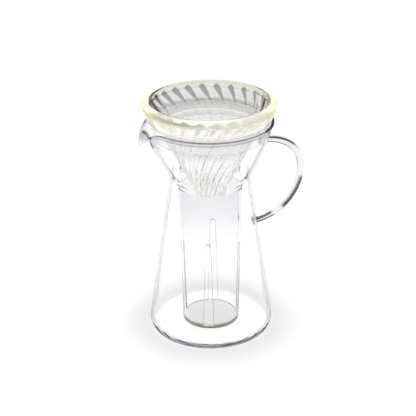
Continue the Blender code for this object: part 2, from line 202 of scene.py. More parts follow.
# %% [markdown]
# ## Clear materials
#
# Each clear thing has its own finish: how much it bends light, how rough it is, and what it absorbs inside,
# so that thick places are stronger in colour than thin walls. Most of them bend light less than real glass
# or plastic does, because full strength draws heavy dark lines in a bright studio. The dark lines that
# belong there are painted shade. A painted edge shade grows where the surface turns away from the eye, and
# an attribute on the mesh holds more painted shade in darker places. The painted glow is a faint light given
# off by the surface of the rim and collar, standing in for light that comes through their cloudy plastic. A
# very faint waviness, from a noise pattern, breaks up reflections that would be too perfect.

# %% Clear material helper
def clear_material(name, painted_edge_shade, edge_start, painted_shade_colour, roughness, ior, absorbed, density,
                   wave_size, wave_depth, transmission=1.0, painted_glow=None):
    """A see-through finish. The edge shade and the shade colour are painted shade that multiplies the light
    passing through, and the glow is painted light given off by the surface.
    """
    material = bpy.data.materials.new(name)
    material.use_nodes = True
    nodes = material.node_tree.nodes
    links = material.node_tree.links
    shader = nodes["Principled BSDF"]
    # Painted shade: the colour darkens where the surface turns away from the eye.
    facing = nodes.new("ShaderNodeLayerWeight")
    facing.inputs["Blend"].default_value = 0.5
    edges = nodes.new("ShaderNodeValToRGB")
    edges.color_ramp.interpolation = "EASE"
    edges.color_ramp.elements[0].position = edge_start
    edges.color_ramp.elements[0].color = (1.0, 1.0, 1.0, 1.0)
    edges.color_ramp.elements[1].position = 0.97
    edges.color_ramp.elements[1].color = (*painted_edge_shade, 1.0)
    links.new(facing.outputs["Facing"], edges.inputs["Fac"])
    # Painted shade: an attribute on the mesh darkens the colour further in chosen places.
    painted_shade = nodes.new("ShaderNodeAttribute")
    painted_shade.attribute_name = "painted_shade"
    tinted = nodes.new("ShaderNodeMix")
    tinted.data_type = "RGBA"
    tinted.blend_type = "MULTIPLY"
    tinted.inputs["B"].default_value = (*painted_shade_colour, 1.0)
    links.new(painted_shade.outputs["Fac"], tinted.inputs["Factor"])
    links.new(edges.outputs["Color"], tinted.inputs["A"])
    links.new(tinted.outputs["Result"], shader.inputs["Base Color"])
    shader.inputs["Roughness"].default_value = roughness
    shader.inputs["IOR"].default_value = ior
    shader.inputs["Transmission Weight"].default_value = transmission
    # Painted light: a faint glow given off by the surface.
    if painted_glow is not None:
        shader.inputs["Emission Color"].default_value = (*painted_glow, 1.0)
        shader.inputs["Emission Strength"].default_value = 1.0
    place = nodes.new("ShaderNodeTexCoord")
    noise = nodes.new("ShaderNodeTexNoise")
    noise.inputs["Scale"].default_value = wave_size
    noise.inputs["Detail"].default_value = 1.0
    bump = nodes.new("ShaderNodeBump")
    bump.inputs["Strength"].default_value = 1.0
    bump.inputs["Distance"].default_value = wave_depth
    links.new(place.outputs["Object"], noise.inputs["Vector"])
    links.new(noise.outputs["Fac"], bump.inputs["Height"])
    links.new(bump.outputs["Normal"], shader.inputs["Normal"])
    if density > 0.0:
        volume = nodes.new("ShaderNodeVolumeAbsorption")
        volume.inputs["Color"].default_value = (*absorbed, 1.0)
        volume.inputs["Density"].default_value = density
        links.new(volume.outputs["Volume"], nodes["Material Output"].inputs["Volume"])
    return material


# %% The clear finishes
server_glass = clear_material(
    "server_glass", painted_edge_shade=(0.14, 0.14, 0.15), edge_start=0.62, painted_shade_colour=(0.08, 0.06, 0.16),
    roughness=0.0, ior=1.12, absorbed=(0.90, 0.91, 0.93), density=40.0,
    wave_size=60.0, wave_depth=0.00012)
handle_glass = clear_material(
    "handle_glass", painted_edge_shade=(0.03, 0.04, 0.05), edge_start=0.56, painted_shade_colour=(0.004, 0.005, 0.006),
    roughness=0.0, ior=1.47, absorbed=(0.80, 0.82, 0.86), density=60.0,
    wave_size=90.0, wave_depth=0.00015)
dripper_clear = clear_material(
    "dripper_clear", painted_edge_shade=(0.35, 0.35, 0.30), edge_start=0.50, painted_shade_colour=(0.10, 0.11, 0.14),
    roughness=0.0, ior=1.50, absorbed=(0.95, 0.94, 0.82), density=30.0,
    wave_size=60.0, wave_depth=0.00010)
# The rim and collar finishes glow faintly: painted light, standing in for light that comes through their
# cloudy plastic.
rim_clear = clear_material(
    "dripper_rim_clear", painted_edge_shade=(0.96, 0.80, 0.44), edge_start=0.45, painted_shade_colour=(1.0, 1.0, 1.0),
    roughness=0.05, ior=1.06, absorbed=(0.98, 0.95, 0.66), density=50.0,
    wave_size=80.0, wave_depth=0.00004, transmission=0.80, painted_glow=(0.03, 0.028, 0.02))
collar_clear = clear_material(
    "collar_clear", painted_edge_shade=(0.95, 0.88, 0.66), edge_start=0.60, painted_shade_colour=(0.60, 0.56, 0.40),
    roughness=0.02, ior=1.12, absorbed=(0.97, 0.95, 0.80), density=30.0,
    wave_size=80.0, wave_depth=0.00006, transmission=0.78, painted_glow=(0.07, 0.068, 0.060))
strainer_clear = clear_material(
    "strainer_clear", painted_edge_shade=(0.14, 0.14, 0.19), edge_start=0.78, painted_shade_colour=(0.10, 0.10, 0.14),
    roughness=0.0, ior=1.12, absorbed=(0.82, 0.83, 0.88), density=30.0,
    wave_size=70.0, wave_depth=0.00010)
seat_clear = clear_material(
    "strainer_seat_clear", painted_edge_shade=(0.75, 0.75, 0.80), edge_start=0.85, painted_shade_colour=(0.10, 0.10, 0.14),
    roughness=0.0, ior=1.05, absorbed=(0.90, 0.90, 0.93), density=20.0,
    wave_size=70.0, wave_depth=0.00010)
floor_clear = clear_material(
    "strainer_floor_clear", painted_edge_shade=(0.60, 0.60, 0.50), edge_start=0.60, painted_shade_colour=(0.12, 0.11, 0.14),
    roughness=0.03, ior=1.12, absorbed=(0.80, 0.78, 0.62), density=60.0,
    wave_size=90.0, wave_depth=0.00020)
print("clear finishes:", len(bpy.data.materials))


def add_painted_shade(mesh, values, domain="POINT"):
    """Painted shade, from 0 to 1, kept with the points or faces. The material reads it."""
    painted_shade = mesh.attributes.new("painted_shade", "FLOAT", domain)
    painted_shade.data.foreach_set("value", values)


# %% [markdown]
# ## The server
#
# The real one is blown in a mould: a straight cone up to a waist, then a funnel that opens to
# the rim. The spout is pulled out of the hot rim and folded over with a tool. Here one formula
# gives the outside for every angle and height, a bell curve keeps the pulled part narrow, and
# the inside is the outside moved in by the wall along its own normal.

# %% Shape of the server
SPOUT_THINNING = 0.58
SPOUT_THIN_SPREAD = math.radians(16.0)
SPOUT_THIN_LEAD = 0.0040
SPOUT_THIN_RISE = 0.0080
FINE_DEGREES = 40
COARSE_COLUMNS = 140
CONE_SLOPE = (BASE_RADIUS - WAIST_RADIUS) / (WAIST_HEIGHT - BASE_CORNER_HEIGHT)
WAIST_SLOPE = (RIM_RADIUS - WAIST_RADIUS + 4.0 * FUNNEL_BOW) / (RIM_HEIGHT - WAIST_HEIGHT)


def server_radius(height):
    lower = WAIST_RADIUS + (WAIST_HEIGHT - height) * CONE_SLOPE
    share = (height - WAIST_HEIGHT) / (RIM_HEIGHT - WAIST_HEIGHT)
    upper = WAIST_RADIUS + (RIM_RADIUS - WAIST_RADIUS) * share + 4.0 * FUNNEL_BOW * share * (1.0 - share)
    gap = abs(height - WAIST_HEIGHT) / WAIST_BLEND
    lift = 0.25 * WAIST_BLEND * (CONE_SLOPE + WAIST_SLOPE) * max(0.0, 1.0 - gap) ** 2
    return max(lower, upper) + lift


def from_spout(angle):
    """The turn from the middle of the spout, which points along -X."""
    return (angle + math.tau) % math.tau - math.pi


def server_outside(angle, height):
    away = from_spout(angle)
    rise = smooth_step((height - WAIST_HEIGHT) / (LIP_START - WAIST_HEIGHT))
    radius = server_radius(height) + SPOUT_BULGE * rise * bell(away, SPOUT_BULGE_SPREAD)
    place = (height - LIP_START) / (RIM_HEIGHT - LIP_START)
    if place > 0.0:
        start = server_radius(LIP_START) + SPOUT_BULGE
        leaving = (1.0 - LIP_CREST_SHARE) * start + LIP_CREST_SHARE * LIP_TIP[0]
        lip = curve_point(((start, LIP_START), (leaving, LIP_CREST),
                           (LIP_TIP[0], LIP_CREST + LIP_CREST_LIFT), LIP_TIP), place)
        radius += (lip[0] - server_radius(height) - SPOUT_BULGE) * bell(away, LIP_SPREAD)
        height += (lip[1] - height) * bell(away, LIP_DROP_SPREAD)
    return Vector((radius * math.cos(angle), radius * math.sin(angle), height))


def server_frame(angle, height):
    """A point on the outside, with the directions outwards and up along the wall."""
    small = 0.0002
    small_turn = 0.002
    middle = server_outside(angle, height)
    up = (server_outside(angle, height + small) - server_outside(angle, height - small)).normalized()
    around = server_outside(angle + small_turn, height) - server_outside(angle - small_turn, height)
    return middle, around.cross(up).normalized(), up


def wall_thickness(angle, height):
    """The wall is drawn thin where the spout is pulled out of it."""
    rise = smooth_step((height - LIP_START + SPOUT_THIN_LEAD) / SPOUT_THIN_RISE)
    return SERVER_WALL * (1.0 - SPOUT_THINNING * bell(from_spout(angle), SPOUT_THIN_SPREAD) * rise)


def server_angles():
    """One column a degree near the spout, where the lip folds, and fewer round the rest."""
    fine = [math.pi + math.radians(step) for step in range(-FINE_DEGREES, FINE_DEGREES + 1)]
    first = math.pi + math.radians(FINE_DEGREES)
    span = math.tau - math.radians(2 * FINE_DEGREES)
    return fine + [first + span * step / COARSE_COLUMNS for step in range(1, COARSE_COLUMNS)]


# %% [markdown]
# The skin is a stack of rows of points, one at each height. They run from the middle of the
# underside up the outside, over the rolled rim, and down the inside to the middle of the floor.

# %% Server outside
angles = server_angles()
heights = [BASE_CORNER_HEIGHT] + between(BASE_CORNER_HEIGHT, WAIST_HEIGHT - WAIST_BLEND, 16)
heights += between(WAIST_HEIGHT - WAIST_BLEND, WAIST_HEIGHT + WAIST_BLEND, 12)
heights += between(WAIST_HEIGHT + WAIST_BLEND, LIP_START, 10) + between(LIP_START, RIM_HEIGHT, 22)
server_rows = [[(0.0, 0.0, 0.0)], ring(0.020, 0.0, angles), ring(0.045, 0.0, angles)]
for step in range(8):
    turn = math.radians(90.0 * step / 8)
    corner_radius = BASE_RADIUS - BASE_CORNER_WIDTH + BASE_CORNER_WIDTH * math.sin(turn)
    server_rows.append(ring(corner_radius, BASE_CORNER_HEIGHT * (1.0 - math.cos(turn)), angles))
for height in heights:
    server_rows.append([server_outside(angle, height) for angle in angles])
print("rows up the outside:", len(server_rows))

# %% Server rim and inside
rim_frames = [server_frame(angle, RIM_HEIGHT) for angle in angles]
for step in range(13):
    turn = math.pi * step / 12
    row = []
    for angle, (middle, outward, up) in zip(angles, rim_frames):
        thin = wall_thickness(angle, RIM_HEIGHT) / SERVER_WALL
        bead = RIM_BEAD * thin
        centre = middle - outward * SERVER_WALL * thin / 2.0 + up * bead * 0.5
        row.append(centre + (outward * math.cos(turn) + up * math.sin(turn)) * bead)
    server_rows.append(row)
lowest_inside = SERVER_FLOOR + FLOOR_CORNER + 0.003
for height in reversed([height for height in heights if height > lowest_inside]):
    row = []
    for angle in angles:
        middle, outward, up = server_frame(angle, height)
        row.append(middle - outward * wall_thickness(angle, height))
    server_rows.append(row)
inner_radius = server_radius(SERVER_FLOOR + FLOOR_CORNER) - SERVER_WALL
for step in range(9):
    turn = math.radians(-90.0 * step / 8)
    corner_radius = inner_radius - FLOOR_CORNER + FLOOR_CORNER * math.cos(turn)
    corner_height = SERVER_FLOOR + FLOOR_CORNER + FLOOR_CORNER * math.sin(turn)
    server_rows.append(ring(corner_radius, corner_height, angles))
server_rows += [ring(0.035, SERVER_FLOOR, angles), ring(0.015, SERVER_FLOOR, angles)]
server_rows.append([(0.0, 0.0, SERVER_FLOOR)])
server_mesh = mesh_from_rows("server_bowl_fine", server_rows, closed=False)


# %% [markdown]
# On the real server the rim and the crest of the fold show as a dark violet line, and the upper wall looks
# faintly grey, mostly from the room around the glass. Here it is painted shade kept with each point, so it
# stays in place when the view turns.

# %% Server painted shade
RIM_LINE_HEIGHT = RIM_HEIGHT + 0.0021
LOWER_LINE_HEIGHT = RIM_HEIGHT - 0.0016


def server_painted_shade(point):
    # Painted shade: dark lines along the rim, the lip and the fold, more near the spout, and faint grey over
    # the upper wall and funnel.
    near_spout = bell(from_spout(math.atan2(point[1], point[0])), math.radians(15.0))
    line_height = RIM_LINE_HEIGHT - 0.0026 * near_spout
    crest = bell(point[2] - line_height, 0.0007 + 0.0003 * near_spout)
    lower = 0.75 * bell(point[2] - LOWER_LINE_HEIGHT, 0.0005) * (1.0 - near_spout)
    lip_edge = 0.5 * near_spout * bell(point[2] - LIP_TIP[1], 0.0008)
    pulled = 0.50 * near_spout * smooth_step((point[2] - LIP_START) / 0.010)
    upper_wall = 0.07 * smooth_step((point[2] - 0.085) / 0.060)
    funnel = 0.03 * smooth_step((point[2] - WAIST_HEIGHT) / 0.008)
    return min(1.0, crest + lower + lip_edge + pulled + upper_wall + funnel)


add_painted_shade(server_mesh, [server_painted_shade(vertex.co) for vertex in server_mesh.vertices])
server = place_piece("server_bowl_fine", server_mesh, server_glass, "server_bowl", "server")

# %% [markdown]
# ## The handle
#
# It is one glass rod, bent hot and fused to the body at both ends. Fusing leaves a short flare.
# Geometry Nodes sweep a circle along the centre line, and a radius attribute carries the swell
# and the flares, so the sweep follows a path and a rule, and there is nothing to model by hand.

# %% Node helpers
def new_tree(name):
    tree = bpy.data.node_groups.new(name, "GeometryNodeTree")
    tree.interface.new_socket("Geometry", in_out="INPUT", socket_type="NodeSocketGeometry")
    tree.interface.new_socket("Geometry", in_out="OUTPUT", socket_type="NodeSocketGeometry")
    return tree, tree.nodes.new("NodeGroupInput"), tree.nodes.new("NodeGroupOutput")


def tree_input(tree, name, kind, value):
    socket = tree.interface.new_socket(name, in_out="INPUT", socket_type=kind)
    if value is not None:
        socket.default_value = value


def tree_math(tree, operation, *values):
    """One Math node; a plain number goes on the socket and anything else is linked."""
    node = tree.nodes.new("ShaderNodeMath")
    node.operation = operation
    for slot_index, value in enumerate(values):
        if isinstance(value, (int, float)):
            node.inputs[slot_index].default_value = value
        else:
            tree.links.new(value, node.inputs[slot_index])
    return node.outputs[0]


def end_tree(tree, geometry, group_in, group_out):
    """Every tree ends the same way: real geometry, then its material."""
    realize = tree.nodes.new("GeometryNodeRealizeInstances")
    paint = tree.nodes.new("GeometryNodeSetMaterial")
    tree.links.new(geometry, realize.inputs[0])
    tree.links.new(realize.outputs[0], paint.inputs["Geometry"])
    tree.links.new(group_in.outputs["Material"], paint.inputs["Material"])
    tree.links.new(paint.outputs[0], group_out.inputs[0])


def grown(name, mesh, tree, values):
    """Run a tree on a mesh with these inputs and return the finished plain mesh."""
    holder = bpy.data.objects.new(name + "_source", mesh)
    bpy.context.collection.objects.link(holder)
    modifier = holder.modifiers.new(name, "NODES")
    modifier.node_group = tree
    for item in tree.interface.items_tree:
        if item.in_out == "INPUT" and item.name in values:
            modifier[item.identifier] = values[item.name]
    graph = bpy.context.evaluated_depsgraph_get()
    made = bpy.data.meshes.new_from_object(holder.evaluated_get(graph))
    made.name = name
    holder.modifiers.remove(modifier)
    bpy.data.objects.remove(holder)
    return made


# %% [markdown]
# The centre line is two cubic curves that meet at the handle's furthest reach. The rod is
# thinner toward its lower end, where it was drawn out.

# %% Handle centre line
HANDLE_TOP = RIM_HEIGHT - 0.0256
HANDLE_REACH = 0.0998
HANDLE_MIDDLE = 0.1620
HANDLE_LOWER_END = 0.1080
HANDLE_TOP_RADIUS = 0.0040
HANDLE_LOWER_RADIUS = 0.0029
WELD_FLARE = 0.0022
WELD_LENGTH = 0.0050
WELD_SINK = 0.0002
TAPER_START = 0.35
TAPER_SPAN = 0.60
ROD_SIDES = 48
LINE_STEPS = 48


def handle_line():
    high_end = (server_radius(HANDLE_TOP) - WELD_SINK, HANDLE_TOP)
    low_end = (server_radius(HANDLE_LOWER_END) - WELD_SINK, HANDLE_LOWER_END)
    furthest = (HANDLE_REACH, HANDLE_MIDDLE)
    shoulder = (HANDLE_REACH, 0.55 * HANDLE_TOP + 0.45 * HANDLE_MIDDLE + 0.003)
    hip = (HANDLE_REACH, 0.5 * (HANDLE_MIDDLE + HANDLE_LOWER_END))
    upper = (high_end, (0.80 * HANDLE_REACH, HANDLE_TOP), shoulder, furthest)
    lower = (furthest, hip, (0.79 * HANDLE_REACH, HANDLE_LOWER_END + 0.0020), low_end)
    points = [curve_point(upper, step / LINE_STEPS) for step in range(LINE_STEPS)]
    return points + [curve_point(lower, step / LINE_STEPS) for step in range(LINE_STEPS + 1)]


line = handle_line()
distances = [0.0]
for near, far in zip(line, line[1:]):
    distances.append(distances[-1] + (far - near).length)
rod_length = distances[-1]
rod_radii = []
for travelled in distances:
    narrowing = smooth_step((travelled / rod_length - TAPER_START) / TAPER_SPAN)
    taper = HANDLE_TOP_RADIUS + (HANDLE_LOWER_RADIUS - HANDLE_TOP_RADIUS) * narrowing
    top_weld = max(0.0, 1.0 - travelled / WELD_LENGTH) ** 2
    low_weld = max(0.0, 1.0 - (rod_length - travelled) / WELD_LENGTH) ** 2
    rod_radii.append(taper + WELD_FLARE * (top_weld + low_weld))
print("rod length (mm): %.1f" % (1000 * rod_length))

# %% Handle sweep
path_mesh = bpy.data.meshes.new("handle_path")
path_mesh.from_pydata([(point[0], 0.0, point[1]) for point in line],
                      [(index, index + 1) for index in range(len(line) - 1)], [])
attribute = path_mesh.attributes.new("rod_radius", "FLOAT", "POINT")
attribute.data.foreach_set("value", rod_radii)

rod_tree, rod_in, rod_out = new_tree("glass rod")
tree_input(rod_tree, "Sides", "NodeSocketInt", ROD_SIDES)
tree_input(rod_tree, "Material", "NodeSocketMaterial", None)
to_curve = rod_tree.nodes.new("GeometryNodeMeshToCurve")
set_radius = rod_tree.nodes.new("GeometryNodeSetCurveRadius")
named = rod_tree.nodes.new("GeometryNodeInputNamedAttribute")
named.data_type = "FLOAT"
named.inputs["Name"].default_value = "rod_radius"
circle = rod_tree.nodes.new("GeometryNodeCurvePrimitiveCircle")
circle.inputs["Radius"].default_value = 1.0
sweep = rod_tree.nodes.new("GeometryNodeCurveToMesh")
sweep.inputs["Fill Caps"].default_value = True
rod_tree.links.new(rod_in.outputs["Geometry"], to_curve.inputs[0])
rod_tree.links.new(to_curve.outputs[0], set_radius.inputs["Curve"])
rod_tree.links.new(named.outputs["Attribute"], set_radius.inputs["Radius"])
rod_tree.links.new(rod_in.outputs["Sides"], circle.inputs["Resolution"])
rod_tree.links.new(set_radius.outputs[0], sweep.inputs["Curve"])
rod_tree.links.new(circle.outputs["Curve"], sweep.inputs["Profile Curve"])
if "Scale" in sweep.inputs:
    rod_tree.links.new(named.outputs["Attribute"], sweep.inputs["Scale"])
end_tree(rod_tree, sweep.outputs[0], rod_in, rod_out)
rod_mesh = grown("server_handle_fine", path_mesh, rod_tree, {"Sides": ROD_SIDES, "Material": handle_glass})
print("points on the rod:", len(rod_mesh.vertices))


# %% [markdown]
# A solid rod gathers the dark of a room into long streaks. In this bright studio there is little dark to
# gather, so the streaks are painted shade. Share is how far along the rod a point is, from 0 at the top to
# 1, and around is the turn about the rod, from 0 degrees on the outside of the bend to 180 on the inside.

# %% Handle painted shade
def handle_painted_shade(point):
    place = Vector((point[0], point[2]))
    index = min(range(len(line)), key=lambda step: (line[step] - place).length)
    share = distances[index] / rod_length
    ahead = line[min(index + 1, len(line) - 1)] - line[max(index - 1, 0)]
    outward = Vector((-ahead[1], ahead[0])).normalized()
    around = math.degrees(math.atan2(abs(point[1]), (place - line[index]).dot(outward)))
    # Painted shade: dark streaks along the rod.
    upper = smooth_step((0.32 - share) / 0.10) * window(around, 28.0, 74.0, 10.0)
    under = 0.5 * smooth_step((0.30 - share) / 0.08) * window(around, 118.0, 156.0, 12.0)
    inner = 0.6 * bell(share - 0.37, 0.08) * smooth_step((around - 140.0) / 12.0)
    bend = smooth_step((share - 0.50) / 0.04) * smooth_step((0.785 - share) / 0.02)
    middle = bend * window(around, 26.0, 64.0, 8.0)
    lower = 0.9 * smooth_step((share - 0.845) / 0.02) * window(around, 52.0, 100.0, 10.0)
    # The least painted shade, over the whole rod.
    pale = 0.20
    return min(1.0, upper + under + inner + middle + lower + pale)


add_painted_shade(rod_mesh, [handle_painted_shade(vertex.co) for vertex in rod_mesh.vertices])
handle = place_piece("server_handle_fine", rod_mesh, handle_glass, "server_handle", "server")

# %% [markdown]
# ## The dripper cone and its ribs
#
# The ribs hold the paper off the wall so that water can run down behind it. On the real one
# they are moulded with the cone, so they must not be separate strips: clear material would show
# the seam inside. A smooth cone is turned first, its columns of points following the spiral, and
# Geometry Nodes then push the inner skin inwards by a formula of angle and radius.

# %% Smooth cone
RIB_COUNT = 24
RIB_HEIGHT = 0.0015
RIB_SLANT = math.radians(27.0)
RIB_TOP = DRIPPER_HEIGHT - 0.0028
RIB_FADE = 0.0040
RIB_WIDTH = 0.35
RIM_UNDERSIDE = DRIPPER_HEIGHT - 0.0080
CONE_SPREAD = (MOUTH_RADIUS - 0.0010 - CONE_HOLE) / (RIM_UNDERSIDE - CONE_BOTTOM)
CONE_THICKNESS = CONE_WALL * math.hypot(1.0, CONE_SPREAD)
TWIST = math.tan(RIB_SLANT) / (MOUTH_RADIUS * math.sin(math.atan(CONE_SPREAD)))
COLUMNS_PER_RIB = 14


def cone_inside(height):
    return CONE_HOLE + (height - CONE_BOTTOM) * CONE_SPREAD


def cone_outside(height):
    return cone_inside(height) + CONE_THICKNESS


CONE_TOP = RIM_UNDERSIDE - 0.0001
LINER_TOP = DRIPPER_HEIGHT - 0.0004
LINER_OUTSIDE = MOUTH_RADIUS + 0.0016
cone_outline = [(MOUTH_RADIUS, LINER_TOP - 0.0016, 0.0), (MOUTH_RADIUS + 0.0002, LINER_TOP - 0.0006, 0.0),
                (MOUTH_RADIUS + 0.0008, LINER_TOP, 0.0), (LINER_OUTSIDE, LINER_TOP, 0.0),
                (LINER_OUTSIDE, CONE_TOP, 0.0), (cone_outside(CONE_TOP) - 0.0002, CONE_TOP, 0.0)]
for height in between(RIM_UNDERSIDE - 0.0005, CONE_BOTTOM + 0.0006, 40):
    cone_outline.append((cone_outside(height), height, 0.0))
cone_outline.append((cone_outside(CONE_BOTTOM) - 0.0006, CONE_BOTTOM, 0.0))
cone_outline.append((cone_inside(CONE_BOTTOM) + 0.0005, CONE_BOTTOM, 0.5))
ring_rows = [ring + 0.0004 * step for ring in (GRIP_TOP, GRIP_BOTTOM) for step in (-2, -1, 0, 1, 2)]
for height in sorted(between(CONE_BOTTOM + 0.0004, RIB_TOP - RIB_FADE, 40) + ring_rows):
    cone_outline.append((cone_inside(height), height, 1.0))
for height in between(RIB_TOP - RIB_FADE, RIB_TOP, 10):
    fading = smooth_step((RIB_TOP - height) / RIB_FADE)
    cone_outline.append((min(cone_inside(height), MOUTH_RADIUS), height, fading))

cone_rows = []
rib_share = []
for radius, height, share in cone_outline:
    turn = -(MOUTH_RADIUS - min(radius, MOUTH_RADIUS)) * TWIST
    row = []
    for column in range(RIB_COUNT * COLUMNS_PER_RIB):
        angle = math.tau * column / (RIB_COUNT * COLUMNS_PER_RIB) + turn
        row.append((radius * math.cos(angle), radius * math.sin(angle), height))
        rib_share.append(share)
    cone_rows.append(row)
plain_cone = mesh_from_rows("dripper_cone_plain", cone_rows, closed=True)
attribute = plain_cone.attributes.new("rib_share", "FLOAT", "POINT")
attribute.data.foreach_set("value", rib_share)
print("points on the smooth cone:", len(plain_cone.vertices))

# %% Spiral ribs
rib_tree, rib_in, rib_out = new_tree("spiral ribs")
tree_input(rib_tree, "Ribs", "NodeSocketFloat", float(RIB_COUNT))
tree_input(rib_tree, "Rib Height", "NodeSocketFloat", RIB_HEIGHT)
tree_input(rib_tree, "Rib Width", "NodeSocketFloat", RIB_WIDTH)
tree_input(rib_tree, "Twist", "NodeSocketFloat", TWIST)
tree_input(rib_tree, "Mouth Radius", "NodeSocketFloat", MOUTH_RADIUS)
tree_input(rib_tree, "Material", "NodeSocketMaterial", None)
position = rib_tree.nodes.new("GeometryNodeInputPosition")
split = rib_tree.nodes.new("ShaderNodeSeparateXYZ")
rib_tree.links.new(position.outputs[0], split.inputs[0])
across = split.outputs["X"]
along = split.outputs["Y"]
across_squared = tree_math(rib_tree, "MULTIPLY", across, across)
along_squared = tree_math(rib_tree, "MULTIPLY", along, along)
distance = tree_math(rib_tree, "SQRT", tree_math(rib_tree, "ADD", across_squared, along_squared))
inner = tree_math(rib_tree, "MINIMUM", distance, rib_in.outputs["Mouth Radius"])
to_mouth = tree_math(rib_tree, "SUBTRACT", rib_in.outputs["Mouth Radius"], inner)
unwound = tree_math(rib_tree, "MULTIPLY", to_mouth, rib_in.outputs["Twist"])
turned_to = tree_math(rib_tree, "ADD", tree_math(rib_tree, "ARCTAN2", along, across), unwound)
phase = tree_math(rib_tree, "MULTIPLY", turned_to, rib_in.outputs["Ribs"])
wave = tree_math(rib_tree, "MULTIPLY_ADD", tree_math(rib_tree, "COSINE", phase), 0.5, 0.5)
above = tree_math(rib_tree, "SUBTRACT", wave, rib_in.outputs["Rib Width"])
tallest = tree_math(rib_tree, "SUBTRACT", 1.0, rib_in.outputs["Rib Width"])
shape = tree_math(rib_tree, "MAXIMUM", tree_math(rib_tree, "DIVIDE", above, tallest), 0.0)
share_node = rib_tree.nodes.new("GeometryNodeInputNamedAttribute")
share_node.data_type = "FLOAT"
share_node.inputs["Name"].default_value = "rib_share"
full_depth = tree_math(rib_tree, "MULTIPLY", shape, rib_in.outputs["Rib Height"])
depth = tree_math(rib_tree, "MULTIPLY", full_depth, share_node.outputs["Attribute"])
scale = tree_math(rib_tree, "DIVIDE", tree_math(rib_tree, "SUBTRACT", distance, depth), distance)
joined = rib_tree.nodes.new("ShaderNodeCombineXYZ")
rib_tree.links.new(tree_math(rib_tree, "MULTIPLY", across, scale), joined.inputs["X"])
rib_tree.links.new(tree_math(rib_tree, "MULTIPLY", along, scale), joined.inputs["Y"])
rib_tree.links.new(split.outputs["Z"], joined.inputs["Z"])
move = rib_tree.nodes.new("GeometryNodeSetPosition")
rib_tree.links.new(rib_in.outputs["Geometry"], move.inputs["Geometry"])
rib_tree.links.new(joined.outputs[0], move.inputs["Position"])
end_tree(rib_tree, move.outputs[0], rib_in, rib_out)
ribbed = grown("dripper_cone_fine", plain_cone, rib_tree,
               {"Ribs": float(RIB_COUNT), "Rib Height": RIB_HEIGHT, "Rib Width": RIB_WIDTH, "Twist": TWIST,
                "Mouth Radius": MOUTH_RADIUS, "Material": dripper_clear})
print("ribs:", RIB_COUNT)


# %% [markdown]
# The inner wall of the real cone looks grey near the mouth, with a darker spike beside the head of each rib
# and two pale rings where the collar grips. These are painted on, like the streaks of the handle: the grey
# and the spikes are painted shade, and the pale rings are painted light, where the painted shade is lifted.
# Beside is the place between one rib and the next, from 0 to 1.

# %% Cone painted shade
SPIKE_LENGTH = 0.024
GRIP_LINE = 0.0006


def outer_skin_painted_shade(height, depth, beside):
    """Painted shade: faint streaks between the ribs, and a row of dark marks round the bottom edge."""
    off_middle = abs(beside - 0.5)
    streak = 0.20 * smooth_step((0.09 - off_middle) / 0.05) * smooth_step((CONE_TOP - height) / 0.003)
    near_bottom = smooth_step((CONE_BOTTOM + 0.005 - height) / 0.002)
    crown = 0.8 * smooth_step((0.24 - off_middle) / 0.10) * near_bottom
    return max(streak * smooth_step((0.060 - depth) / 0.02), crown)


def cone_painted_shade(point):
    radius = math.hypot(point[0], point[1])
    depth = RIB_TOP + 0.001 - point[2]
    angle = math.atan2(point[1], point[0]) + (MOUTH_RADIUS - min(radius, MOUTH_RADIUS)) * TWIST
    beside = (angle * RIB_COUNT / math.tau) % 1.0
    if radius > min(cone_inside(point[2]), MOUTH_RADIUS) + 0.0004:
        return outer_skin_painted_shade(point[2], depth, beside)
    # Painted shade: grey near the mouth and a dark spike beside the head of each rib.
    spike_width = 0.32 * max(0.0, 1.0 - depth / SPIKE_LENGTH) * smooth_step(depth / 0.006)
    spike = smooth_step((spike_width - abs(beside - 0.13 - 0.5 * spike_width)) / 0.08)
    spike *= smooth_step(depth / 0.003)
    grey = 0.40 * smooth_step((0.054 - depth) / 0.012) + 0.10 * smooth_step((0.003 - depth) / 0.002)
    # Painted light: the painted shade is lifted in two thin rings where the collar grips.
    ring_line = max(bell(point[2] - GRIP_TOP, GRIP_LINE), bell(point[2] - GRIP_BOTTOM, GRIP_LINE))
    dark = grey + 0.58 * spike * smooth_step((0.030 - depth) / 0.01)
    return min(1.0, dark * (1.0 - 0.9 * ring_line))


add_painted_shade(ribbed, [cone_painted_shade(vertex.co) for vertex in ribbed.vertices])
cone = place_piece("dripper_cone_fine", ribbed, dripper_clear, "dripper_cone", "dripper", sharp=35.0)

# %% [markdown]
# ## The dripper's rim
#
# The rim is the thickest plastic on the set, so it looks milky and warm where the wall looks
# grey. It is moulded with the cone, but it gets its own turned ring and its own finish here,
# because one material with two strengths of see-through is harder to read and to export.

# %% Dripper rim
rim_half = DRIPPER_RIM_WIDTH / 2.0 - 0.00005
rim_centre = (MOUTH_RADIUS + rim_half, DRIPPER_HEIGHT - rim_half)
rim_start = LINER_OUTSIDE + 0.0001
rim_outline = [(rim_start, RIM_UNDERSIDE + 0.0002),
               (rim_start, LINER_TOP - 0.0004),
               (rim_start + 0.0004, DRIPPER_HEIGHT - 0.0001)]
for step in range(20):
    turn = math.radians(100.0 - 100.0 * step / 19)
    rim_outline.append((rim_centre[0] + rim_half * math.cos(turn),
                        rim_centre[1] + rim_half * math.sin(turn)))
rim_outline += [(rim_centre[0] + 0.97 * rim_half, RIM_UNDERSIDE + 0.0016),
                (rim_centre[0] + 0.88 * rim_half, RIM_UNDERSIDE + 0.0005),
                (rim_centre[0] + 0.70 * rim_half, RIM_UNDERSIDE)]
rim_mesh = mesh_from_rows("dripper_rim_fine", lathe(rim_outline, 256), closed=True)
# The rim's finish adds a faint painted glow to its milky look.
dripper_rim = place_piece("dripper_rim_fine", rim_mesh, rim_clear, "dripper_cone", "dripper")

